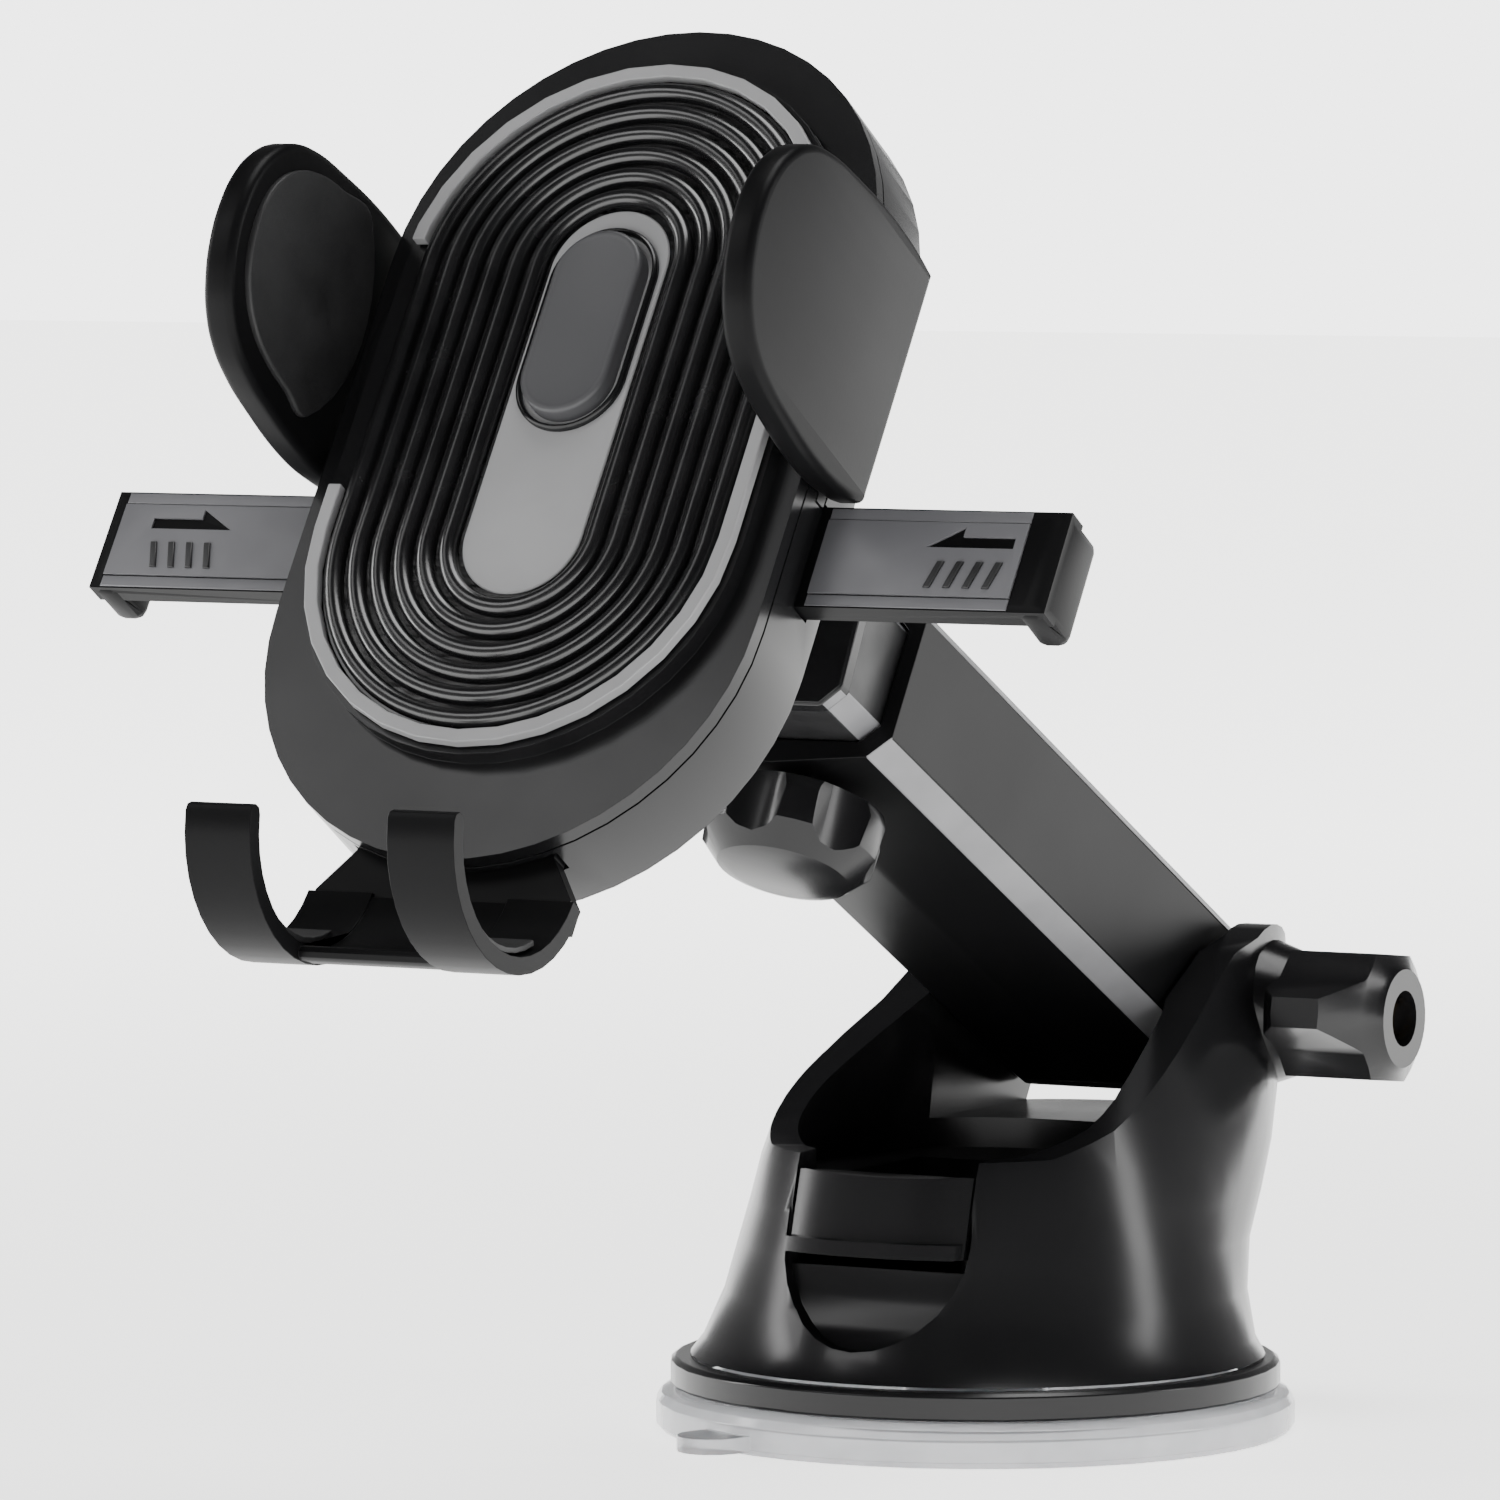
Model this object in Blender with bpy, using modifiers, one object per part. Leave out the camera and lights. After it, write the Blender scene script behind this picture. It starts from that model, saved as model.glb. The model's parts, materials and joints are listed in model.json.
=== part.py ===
"""Telescopic car phone mount: suction base, hinged two-part arm, ball joint and spring-closed clamp head.

Units are metres and +Z is up. The suction face lies on z = 0, the head looks towards -Y, and the hinge
knob is on +X. The arm and the head are drawn in their own frames and hang from two empties.
"""

from math import cos, pi, radians, sin, sqrt, tau

import bmesh
import bpy
from mathutils import Matrix, Vector

MM = 0.001
GAP = 0.3 * MM  # between pieces that touch on the real object

# Base
PAD_R = 42 * MM
PAD_FLANGE_TOP = 5.4 * MM
SKIRT_R = 40.1 * MM
HOUSING_Z0 = 9.8 * MM
ARM_SLOT_HALF = 17.2 * MM
PIVOT_Y = 44 * MM
PIVOT_Z = 52 * MM
EAR_R = 11.8 * MM
LEVER_HALF = 13 * MM
LEVER_PIN_Z = 25 * MM

# Arm, drawn along +Z of its own frame, with +Y as its upper face
ARM_TILT = radians(62.1)
TUBE_HALF_X = 16.4 * MM
TUBE_HALF_Y = 11.45 * MM
TUBE_CHAMFER = 2.8 * MM
TUBE_KEEL = 1.2 * MM
TUBE_MOUTH = 105.6 * MM
CHANNEL_HALF_X = 14.2 * MM
CHANNEL_HALF_Y = 9.3 * MM
INNER_END = 118.5 * MM
LOCK_AT = 96.8 * MM
BALL_AT = 143 * MM
BALL_R = 9.5 * MM

# Head, drawn facing -Y of its own frame, whose origin is the middle of the pad's front
HEAD_TILT = radians(-33)
HEAD_Y = -107.5 * MM
HEAD_Z = 137.9 * MM
PLATE_HALF = 33.3 * MM
PLATE_STRAIGHT = 25.25 * MM
PLATE_MID = -3.15 * MM
SHELL_BACK = 17.6 * MM
PAD_STRAIGHT = 19 * MM
PLATEAU_HALF = 29.7 * MM
RING_OUT = 29 * MM
RING_IN = 27.2 * MM
RECESS_HALF = 8.1 * MM
BUTTON_HALF = 6 * MM
BUTTON_STRAIGHT = 7 * MM
BUTTON_MID = 9.9 * MM
PINION_Z = 4 * MM
PINION_R = 6 * MM
PINION_TEETH = 12
RACK_Y = (8.9 * MM, 10.7 * MM)
WING_Y = (11.1 * MM, 14.2 * MM)
WING_Z = (-21.9 * MM, -8.1 * MM)
WING_REACH = 66.6 * MM
WING_INNER = 19.5 * MM
JAW_X = (33.6 * MM, 37.8 * MM)

# Colour, roughness and metallic value of each finish
FINISHES = {
    "gloss_black": ((0.012, 0.012, 0.013), 0.28, 0.0),
    "satin_black": ((0.016, 0.016, 0.017), 0.42, 0.0),
    "grey_trim": ((0.28, 0.28, 0.285), 0.45, 0.0),
    "dark_grey": ((0.07, 0.07, 0.072), 0.5, 0.0),
    "clear_tpu": ((0.75, 0.75, 0.76), 0.25, 0.0),
    "soft_black": ((0.01, 0.01, 0.01), 0.7, 0.0),
    "steel": ((0.55, 0.55, 0.56), 0.3, 1.0),
    "brass": ((0.6, 0.42, 0.16), 0.3, 1.0),
    "white_pom": ((0.6, 0.6, 0.58), 0.4, 0.0),
}

for old in list(bpy.data.objects):
    bpy.data.objects.remove(old, do_unlink=True)

parts = bpy.data.collections.new("CarPhoneMount")
cutters = bpy.data.collections.new("Cutters")
for group in (parts, cutters):
    bpy.context.scene.collection.children.link(group)
cutters.hide_render = True


def frame_empty(name, place, tilt):
    empty = bpy.data.objects.new(name, None)
    empty.location = place
    empty.rotation_euler = (tilt, 0, 0)
    parts.objects.link(empty)
    return empty


armFrame = frame_empty("arm_frame", (0, PIVOT_Y, PIVOT_Z), ARM_TILT)
headFrame = frame_empty("head_frame", (0, HEAD_Y, HEAD_Z), HEAD_TILT)


def finish_of(name):
    found = bpy.data.materials.get(name)
    if found:
        return found
    colour, roughness, metallic = FINISHES[name]
    found = bpy.data.materials.new(name)
    found.use_nodes = True
    shader = found.node_tree.nodes["Principled BSDF"]
    shader.inputs["Base Color"].default_value = (*colour, 1)
    shader.inputs["Roughness"].default_value = roughness
    shader.inputs["Metallic"].default_value = metallic
    found.diffuse_color = (*colour, 1)
    return found


def place(obj, finish=None, parent=None):
    """Files an object as a part, or as a cutter when it has no finish."""
    if finish is None:
        cutters.objects.link(obj)
        obj.hide_render = True
        obj.display_type = "WIRE"
    else:
        parts.objects.link(obj)
        obj.data.materials.clear()
        obj.data.materials.append(finish_of(finish))
    obj.parent = parent
    return obj


def mesh_object(name, mesh_tool, finish, parent):
    bm = bmesh.new()
    mesh_tool(bm)
    bmesh.ops.recalc_face_normals(bm, faces=bm.faces)
    mesh = bpy.data.meshes.new(name)
    bm.to_mesh(mesh)
    bm.free()
    obj = bpy.data.objects.new(name, mesh)
    if finish:
        mesh.shade_smooth()
        mesh.set_sharp_from_angle(angle=radians(35))
    return place(obj, finish, parent)


def block(name, low, high, finish=None, parent=None):
    """A box between two corners."""
    low, high = Vector(low), Vector(high)

    def make(bm):
        bmesh.ops.create_cube(bm, size=1)
        bmesh.ops.scale(bm, vec=high - low, verts=bm.verts)
        bmesh.ops.translate(bm, vec=(low + high) / 2, verts=bm.verts)

    return mesh_object(name, make, finish, parent)


def rod(name, start, end, radius, finish=None, parent=None, sides=24, end_radius=None, turn=0.0):
    """A cylinder, cone or prism from one point to another."""
    start, end = Vector(start), Vector(end)

    def make(bm):
        far = radius if end_radius is None else end_radius
        length = (end - start).length
        bmesh.ops.create_cone(
            bm, cap_ends=True, segments=sides, radius1=radius, radius2=far, depth=length
        )
        aim = (end - start).to_track_quat("Z", "Y").to_matrix()
        bmesh.ops.rotate(bm, cent=(0, 0, 0), matrix=Matrix.Rotation(turn, 3, "Z"), verts=bm.verts)
        bmesh.ops.rotate(bm, cent=(0, 0, 0), matrix=aim, verts=bm.verts)
        bmesh.ops.translate(bm, vec=(start + end) / 2, verts=bm.verts)

    return mesh_object(name, make, finish, parent)


def turned(name, profile, finish=None, parent=None, centre=(0, 0, 0), axis="Z", steps=48):
    """A profile of (radius, height) points turned about an axis, running down its outer side."""
    mesh = bpy.data.meshes.new(name)
    bm = bmesh.new()
    row = [bm.verts.new((max(r, 0), 0, h)) for r, h in profile]
    for a, b in zip(row, row[1:]):
        bm.edges.new((a, b))
    if profile[0][0] > 0 or profile[-1][0] > 0:
        bm.edges.new((row[-1], row[0]))
    bm.to_mesh(mesh)
    bm.free()
    obj = bpy.data.objects.new(name, mesh)
    screw = obj.modifiers.new("Turn", "SCREW")
    screw.steps = screw.render_steps = steps
    screw.use_merge_vertices = True
    screw.merge_threshold = 0.00001
    screw.use_normal_calculate = True
    screw.use_smooth_shade = False
    place(obj, finish, parent)
    obj.location = centre
    if axis == "Y":
        obj.rotation_euler = (-pi / 2, 0, 0)
    elif axis == "X":
        obj.rotation_euler = (0, pi / 2, 0)
    return solid(obj)


def solid(obj):
    """Applies what an object's modifiers make, keeping its name, place and parent."""
    graph = bpy.context.evaluated_depsgraph_get()
    made = bpy.data.meshes.new_from_object(obj.evaluated_get(graph))
    bm = bmesh.new()
    bm.from_mesh(made)
    bmesh.ops.remove_doubles(bm, verts=bm.verts, dist=0.000001)
    bmesh.ops.recalc_face_normals(bm, faces=bm.faces)
    bm.to_mesh(made)
    bm.free()
    obj.modifiers.clear()
    if obj.type == "MESH":
        obj.data = made
        return obj
    copy = bpy.data.objects.new("made", made)
    for user in obj.users_collection:
        user.objects.link(copy)
    copy.parent = obj.parent
    copy.location = obj.location
    copy.rotation_euler = obj.rotation_euler
    copy.hide_render = obj.hide_render
    copy.display_type = obj.display_type
    name = obj.name
    bpy.data.objects.remove(obj, do_unlink=True)
    copy.name = name
    return copy


def plate(name, outline, low, high, finish=None, parent=None, face="Y"):
    """A flat outline given thickness from low to high, across Y as (x, z) points or X as (y, z) points."""
    curve = bpy.data.curves.new(name, "CURVE")
    curve.dimensions = "2D"
    curve.fill_mode = "BOTH"
    curve.extrude = (high - low) / 2
    spline = curve.splines.new("POLY")
    spline.points.add(len(outline) - 1)
    for point, (a, b) in zip(spline.points, outline):
        point.co = (a, b, 0, 1)
    spline.use_cyclic_u = True
    obj = bpy.data.objects.new(name, curve)
    place(obj, finish, parent)
    middle = (low + high) / 2
    if face == "Y":
        obj.rotation_euler = (pi / 2, 0, 0)
        obj.location = (0, middle, 0)
    elif face == "X":
        obj.rotation_euler = (pi / 2, 0, pi / 2)
        obj.location = (middle, 0, 0)
    else:
        obj.location = (0, 0, middle)
    return solid(obj)


def combine(obj, other, operation):
    modifier = obj.modifiers.new(operation.title(), "BOOLEAN")
    modifier.operation = operation
    modifier.solver = "EXACT"
    modifier.object = other
    bpy.context.view_layer.update()
    return obj


def cut(obj, *tools):
    for tool in tools:
        combine(obj, tool, "DIFFERENCE")
    return obj


def join(obj, *tools):
    for tool in tools:
        combine(obj, tool, "UNION")
    return obj


def keep(obj, tool):
    return combine(obj, tool, "INTERSECT")


def shift(obj, matrix):
    """Moves an object together with the tools that cut it."""
    bpy.context.view_layer.update()
    for item in [obj] + [modifier.object for modifier in obj.modifiers]:
        item.matrix_basis = matrix @ item.matrix_basis


def rounded(obj, width, segments=2, angle=35):
    bevel = obj.modifiers.new("Round", "BEVEL")
    bevel.width = width
    bevel.segments = segments
    bevel.limit_method = "ANGLE"
    bevel.angle_limit = radians(angle)
    return obj


def arc(cx, cz, radius, start, end, steps):
    """Points on an arc, angles in degrees."""
    return [
        (cx + radius * cos(a), cz + radius * sin(a))
        for a in (radians(start + (end - start) * i / steps) for i in range(steps + 1))
    ]


def capsule(half, straight, mid=0.0, steps=16):
    """A long round-ended outline: half its width, half its straight run, height of its middle."""
    return arc(0, mid + straight, half, 0, 180, steps) + arc(0, mid - straight, half, 180, 360, steps)


def oval_loft(name, sections, finish=None, parent=None, count=48):
    """A closed skin through superellipses, each (height, half x, half y, middle y, power)."""

    def make(bm):
        rings = []
        for height, a, b, middle, power in sections:
            ring = []
            for i in range(count):
                t = tau * i / count
                x = a * abs(cos(t)) ** (2 / power) * (1 if cos(t) >= 0 else -1)
                y = middle + b * abs(sin(t)) ** (2 / power) * (1 if sin(t) >= 0 else -1)
                ring.append(bm.verts.new((x, y, height)))
            rings.append(ring)
        for below, above in zip(rings, rings[1:]):
            for i in range(count):
                j = (i + 1) % count
                bm.faces.new((below[i], below[j], above[j], above[i]))
        bm.faces.new(rings[0][::-1])
        bm.faces.new(rings[-1])

    return mesh_object(name, make, finish, parent)


def coil(name, axis, start, end, radius, wire, turns, finish, parent=None):
    """A round-wire spring along X, Y or Z from start to end."""
    curve = bpy.data.curves.new(name, "CURVE")
    curve.dimensions = "3D"
    curve.bevel_depth = wire
    curve.bevel_resolution = 0
    curve.use_fill_caps = True
    count = int(turns * 8)
    spline = curve.splines.new("POLY")
    spline.points.add(count)
    start, end = Vector(start), Vector(end)
    for i, point in enumerate(spline.points):
        a = tau * turns * i / count
        middle = start.lerp(end, i / count)
        u, v = radius * cos(a), radius * sin(a)
        offset = {"X": (0, u, v), "Y": (v, 0, u), "Z": (u, v, 0)}[axis]
        point.co = (*(middle + Vector(offset)), 1)
    obj = bpy.data.objects.new(name, curve)
    place(obj, finish, parent)
    return solid(obj)


# ---------------------------------------------------------------- base


def suction_pad():
    pad = turned(
        "suction_pad",
        [
            (0, 2.0 * MM), (6.4 * MM, 2.0 * MM), (6.4 * MM, 7.0 * MM), (3.3 * MM, 7.0 * MM),
            (3.3 * MM, 8.0 * MM), (9.2 * MM, 8.0 * MM), (10.4 * MM, 2.8 * MM), (35.6 * MM, 2.8 * MM),
            (36.6 * MM, PAD_FLANGE_TOP), (39.8 * MM, PAD_FLANGE_TOP), (41.3 * MM, 4.9 * MM),
            (PAD_R, 3.8 * MM), (PAD_R, 0.8 * MM), (41.3 * MM, 0), (0, 0),
        ],
        "clear_tpu",
        steps=44,
    )
    angle = radians(-112)
    tab = plate("pad_tab_shape", capsule(4.5 * MM, 4 * MM, steps=8), 0.5 * MM, 2.6 * MM, None, None, "Z")
    tab.rotation_euler = (0, 0, angle - pi / 2)
    tab.location = (40.5 * MM * cos(angle), 40.5 * MM * sin(angle), 1.6 * MM)
    return join(pad, tab)


def skirt_ring():
    return turned(
        "skirt_ring",
        [
            (37.2 * MM, 9.5 * MM), (39.4 * MM, 9.5 * MM), (SKIRT_R, 9.0 * MM), (SKIRT_R, 6.1 * MM),
            (39.8 * MM, 5.8 * MM), (37.2 * MM, 5.8 * MM),
        ],
        "gloss_black",
        steps=44,
    )


def outer_sections(inset=0.0):
    """Sections of the bell, drawn in by an inset."""
    rows = [
        (9.8, 37.8, 37.8, 0.7, 2.0), (12, 36.3, 36.4, 1.2, 2.0), (18, 34.0, 35.2, 3.0, 2.05),
        (24.5, 32.5, 36.2, 5.5, 2.1), (30, 31.3, 38.2, 9.0, 2.2), (36, 30.2, 39.6, 12.2, 2.3),
        (42, 28.2, 40.0, 15.5, 2.5), (48, 25.7, 39.5, 18.5, 2.9), (54, 23.7, 38.0, 21.0, 3.4),
        (60, 22.6, 36.6, 23.0, 4.0), (68, 22.4, 36.0, 24.0, 4.5),
    ]
    return [(z * MM, a * MM - inset, b * MM - inset, y * MM, p) for z, a, b, y, p in rows]


def inner_sections(rows):
    return [(z * MM, a * MM, b * MM, y * MM, p) for z, a, b, y, p in rows]


def base_screw_places():
    return [(x * 21 * MM, y * MM) for x in (-1, 1) for y in (-12, 20)]


def base_housing():
    housing = oval_loft("base_housing", outer_sections(), "gloss_black", count=56)
    ears = [(-60, 37.5), (-27, 37.5), (-18, 37.9), (-9, 41.0), (0, 45.4), (18, 53.6), (31.5, 61)]
    ears = [(y * MM, z * MM) for y, z in ears]
    ears += arc(PIVOT_Y, PIVOT_Z, EAR_R, 118, 0, 10)
    ears += [(57 * MM, 38 * MM), (54 * MM, 20 * MM), (60 * MM, 0), (-60 * MM, 0)]
    keep(housing, plate("ear_outline", ears, -50 * MM, 50 * MM, face="X"))
    hollow = [
        (8, 35.2, 35.2, 0.7, 2.0), (18, 31.8, 32.6, 3.0, 2.05),
        (24.5, 30.4, 33.6, 5.5, 2.1), (31.5, 28.8, 35.6, 9.6, 2.2),
    ]
    bowl = [
        (34, 23.6, 24.2, 1.5, 2.2), (38, 23.2, 24.4, 1.5, 2.3), (44, 21.8, 24.0, 3.0, 2.6),
        (52, 19.2, 24.0, 5.0, 3.2), (72, 17.2, 24.0, 6.0, 4.0),
    ]
    cut(housing, oval_loft("housing_hollow", inner_sections(hollow)))
    cut(housing, oval_loft("saddle_bowl", inner_sections(bowl)))
    backing = block("scoop_backing", (-15.5 * MM, -34 * MM, 12.8 * MM), (15.5 * MM, -24 * MM, 24.6 * MM))
    join(housing, keep(backing, oval_loft("backing_trim", outer_sections(0.4 * MM), count=56)))
    for x, y in base_screw_places():
        join(housing, rod("screw_boss", (x, y, 12.8 * MM), (x, y, 33 * MM), 3.2 * MM, sides=16))
    boss_start = (20 * MM, PIVOT_Y, PIVOT_Z)
    boss_end = (26.4 * MM, PIVOT_Y, PIVOT_Z)
    join(housing, rod("knob_boss", boss_start, boss_end, 10.4 * MM, end_radius=8.2 * MM))
    lever_gap = LEVER_HALF + 0.5 * MM
    well = lever_gap - 0.4 * MM
    front = [(-lever_gap, 60 * MM), (-lever_gap, 27 * MM)]
    front += arc(0, 27 * MM, lever_gap, 180, 360, 14)[1:] + [(lever_gap, 60 * MM)]
    scoop = [
        (-50, 60), (-26, 60), (-26, 25.4), (-26.4, 23.4), (-27.4, 20), (-29.4, 16.4),
        (-33, 13), (-50, 12),
    ]
    scoop_side = plate("scoop_side", [(y * MM, z * MM) for y, z in scoop], -40 * MM, 40 * MM, face="X")
    bolt_line = [(x * MM, PIVOT_Y, PIVOT_Z) for x in (-40, -19.3, 40)]
    cut(
        housing,
        block("arm_slot", (-ARM_SLOT_HALF, 2 * MM, 38 * MM), (ARM_SLOT_HALF, 80 * MM, 90 * MM)),
        block("lever_well", (-well, -27.5 * MM, 23.5 * MM), (well, 9 * MM, 45 * MM)),
        keep(plate("lever_front", front, -49 * MM, -20 * MM), scoop_side),
        rod("pivot_hole", bolt_line[0], bolt_line[2], 2.9 * MM, sides=20),
        rod("bolt_pocket", bolt_line[0], bolt_line[1], 5.3 * MM, sides=6),
    )
    for x, y in base_screw_places():
        cut(housing, rod("screw_bore", (x, y, 12 * MM), (x, y, 25 * MM), 1.7 * MM, sides=12))
    return housing


def base_plate():
    disc = rod("base_plate", (0, 0, 10.2 * MM), (0, 0, 12.4 * MM), 31.4 * MM, "satin_black", sides=40)
    join(disc, block("cam_tower", (-9 * MM, -8 * MM, 11.5 * MM), (9 * MM, 10 * MM, 20.5 * MM)))
    cut(disc, rod("rod_hole", (0, 0, 9 * MM), (0, 0, 22 * MM), 4 * MM, sides=20))
    for x, y in base_screw_places():
        cut(disc, rod("plate_hole", (x, y, 9 * MM), (x, y, 14 * MM), 1.7 * MM, sides=12))
    return disc


def screw(name, place_top, toward, head_r, head_h, shaft_r, length, parent=None):
    """A pan-head screw: the top of its head, the way it points, and its sizes."""
    top = Vector(place_top)
    toward = Vector(toward)
    seat = top + toward * head_h
    made = rod(name, top, seat, head_r * 0.8, "steel", parent, sides=16, end_radius=head_r)
    join(made, rod("shank", seat - toward * 0.3 * MM, seat + toward * length, shaft_r, None, parent, 12))
    across = rod("drive", top - toward * MM, top + toward * head_h * 0.6, head_r * 0.42, None, parent, 6)
    return cut(made, across)


def suction_lever():
    side = [
        (2.2, 23.6), (2.2, 27.6), (-1, 29.4), (-9, 31.6), (-19, 34.6), (-25.2, 35.8), (-32, 34.6),
        (-32, 25.4), (-25.4, 25.4), (-21, 27.4), (-12, 26.2), (-5, 22), (-2, 21), (0, 21), (1.4, 22.1),
    ]
    low, high = 20 * MM, 36.5 * MM
    wide = 12.7 * MM
    side = [(y * MM, z * MM) for y, z in side]
    lever = plate("suction_lever", side, -wide, wide, "gloss_black", face="X")
    keep(lever, oval_loft("lever_skin", outer_sections(0.3 * MM), count=56))
    lip = block("lever_lip", (-12.4 * MM, -36 * MM, 25.5 * MM), (12.4 * MM, -24 * MM, 27.4 * MM))
    join(lever, keep(lip, oval_loft("lip_skin", outer_sections(-1.4 * MM), count=56)))
    cut(
        lever,
        block("fork_slot", (-3.2 * MM, -6 * MM, low - MM), (3.2 * MM, 6 * MM, high)),
        rod("pin_hole", (-15 * MM, 0, LEVER_PIN_Z), (15 * MM, 0, LEVER_PIN_Z), 1.5 * MM, sides=16),
    )
    return lever


def lever_pin():
    return rod("lever_pin", (-12 * MM, 0, LEVER_PIN_Z), (12 * MM, 0, LEVER_PIN_Z), 1.2 * MM, "steel", sides=16)


def pull_rod():
    made = turned(
        "pull_rod",
        [
            (0, 23 * MM), (2.4 * MM, 23 * MM), (2.9 * MM, 22 * MM), (2.9 * MM, 6.8 * MM),
            (6.0 * MM, 6.8 * MM), (6.0 * MM, 5.2 * MM), (0, 5.2 * MM),
        ],
        "steel",
        steps=24,
    )
    eye = [(x * MM, 0, LEVER_PIN_Z) for x in (-2.6, 2.6, -4, 4)]
    join(made, rod("rod_eye", eye[0], eye[1], 3.6 * MM, sides=20))
    return cut(made, rod("eye_hole", eye[2], eye[3], 1.5 * MM, sides=16))


# ---------------------------------------------------------------- base hinge


def pivot_bolt():
    line = [(x * MM, PIVOT_Y, PIVOT_Z) for x in (-23.6, -19.6, -20, 37)]
    bolt = rod("pivot_bolt", line[0], line[1], 4.9 * MM, "steel", sides=6)
    return join(bolt, rod("bolt_shank", line[2], line[3], 2.4 * MM, sides=16))


def pivot_washers():
    for name, side in (("pivot_washer_left", -1), ("pivot_washer_right", 1)):
        inner, outer = side * 15.9 * MM, side * 16.9 * MM
        washer = rod(name, (inner, 0, 0), (outer, 0, 0), 8 * MM, "white_pom", armFrame, sides=28)
        ends = [(side * x * MM, 0, 0) for x in (14, 19)]
        cut(washer, rod(name + "_hole", ends[0], ends[1], 2.9 * MM, None, armFrame, 16))


def pivot_knob():
    """A two-winged knob on a brass insert: a quarter of its outline, mirrored into the whole."""
    corner = [(15.3 * MM, 2.0 * MM), (8.4 * MM, 4.8 * MM), (5.2 * MM, 8.4 * MM)]
    outline = corner + [(-y, z) for y, z in corner[::-1]]
    outline += [(y, -z) for y, z in outline[::-1]]
    knob = plate("pivot_knob", outline, 26.8 * MM, 41.4 * MM, "gloss_black", face="X")
    taper = turned(
        "knob_taper",
        [
            (0, 41.4 * MM), (6.6 * MM, 41.4 * MM), (7.4 * MM, 40.6 * MM), (9.5 * MM, 39.6 * MM),
            (16 * MM, 35.5 * MM), (16 * MM, 29.6 * MM), (13 * MM, 26.8 * MM), (0, 26.8 * MM),
        ],
        axis="X",
        steps=32,
    )
    keep(knob, taper)
    bore = [(x * MM, 0, 0) for x in (26, 39.2, 43)]
    cut(knob, rod("knob_bore", bore[0], bore[1], 4.2 * MM, sides=6))
    cut(knob, rod("knob_mouth", (38 * MM, 0, 0), bore[2], 3.75 * MM, sides=24))
    insert = rod("pivot_insert", (27.1 * MM, 0, 0), (37.6 * MM, 0, 0), 3.8 * MM, "brass", sides=6)
    cut(insert, rod("insert_bore", (26 * MM, 0, 0), (39 * MM, 0, 0), 2.7 * MM, sides=16))
    turn = Matrix.Translation((0, PIVOT_Y, PIVOT_Z)) @ Matrix.Rotation(radians(-6), 4, "X")
    shift(knob, turn)
    shift(insert, turn)


# ---------------------------------------------------------------- arm


def arm_outline(half_x, half_y, chamfer, keel=0.0):
    """A flat box section with cut corners, and a shallow keel underneath where one is given."""
    top = [(half_x, half_y - chamfer), (half_x - chamfer, half_y)]
    outline = top + [(-x, y) for x, y in top[::-1]]
    low = [(-half_x, chamfer - half_y), (chamfer - half_x, -half_y)]
    outline += low
    if keel:
        outline.append((0, -half_y - keel))
    return outline + [(-x, y) for x, y in low[::-1]]


def outer_tube():
    tube = plate(
        "outer_tube",
        arm_outline(TUBE_HALF_X, TUBE_HALF_Y, TUBE_CHAMFER, TUBE_KEEL),
        -14 * MM,
        115 * MM,
        "gloss_black",
        armFrame,
        face="Z",
    )
    side = arc(0, 0, TUBE_HALF_Y, 180, 360, 14)
    slant = HEAD_TILT + pi / 2 - ARM_TILT
    side += [(13 * MM, 4 * MM), (13 * MM, TUBE_MOUTH + 13 * MM * sin(slant))]
    side += [(-14 * MM, TUBE_MOUTH - 14 * MM * sin(slant)), (-14 * MM, 9 * MM), (-12 * MM, 1 * MM)]
    keep(tube, plate("tube_side", side, -30 * MM, 30 * MM, None, armFrame, "X"))
    cut(
        tube,
        plate(
            "channel",
            arm_outline(CHANNEL_HALF_X, CHANNEL_HALF_Y, 2.4 * MM),
            16 * MM,
            120 * MM,
            None,
            armFrame,
            "Z",
        ),
        block(
            "shoe_pocket",
            (-8 * MM, -10.4 * MM, LOCK_AT - 6.4 * MM),
            (8 * MM, -5 * MM, LOCK_AT + 6.4 * MM),
            None,
            armFrame,
        ),
        rod("lock_hole", (0, -20 * MM, LOCK_AT), (0, -5 * MM, LOCK_AT), 2.9 * MM, None, armFrame, 16),
        rod("barrel_hole", (-30 * MM, 0, 0), (30 * MM, 0, 0), 2.9 * MM, None, armFrame, 20),
        rod("washer_seat_left", (-30 * MM, 0, 0), (-15.6 * MM, 0, 0), 8.4 * MM, None, armFrame, 28),
        rod("washer_seat_right", (30 * MM, 0, 0), (15.6 * MM, 0, 0), 8.4 * MM, None, armFrame, 28),
    )
    return tube


def brake_shoe():
    low = (-7.6 * MM, -10.1 * MM, LOCK_AT - 6 * MM)
    high = (7.6 * MM, -9.3 * MM, LOCK_AT + 6 * MM)
    return block("brake_shoe", low, high, "soft_black", armFrame)


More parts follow.
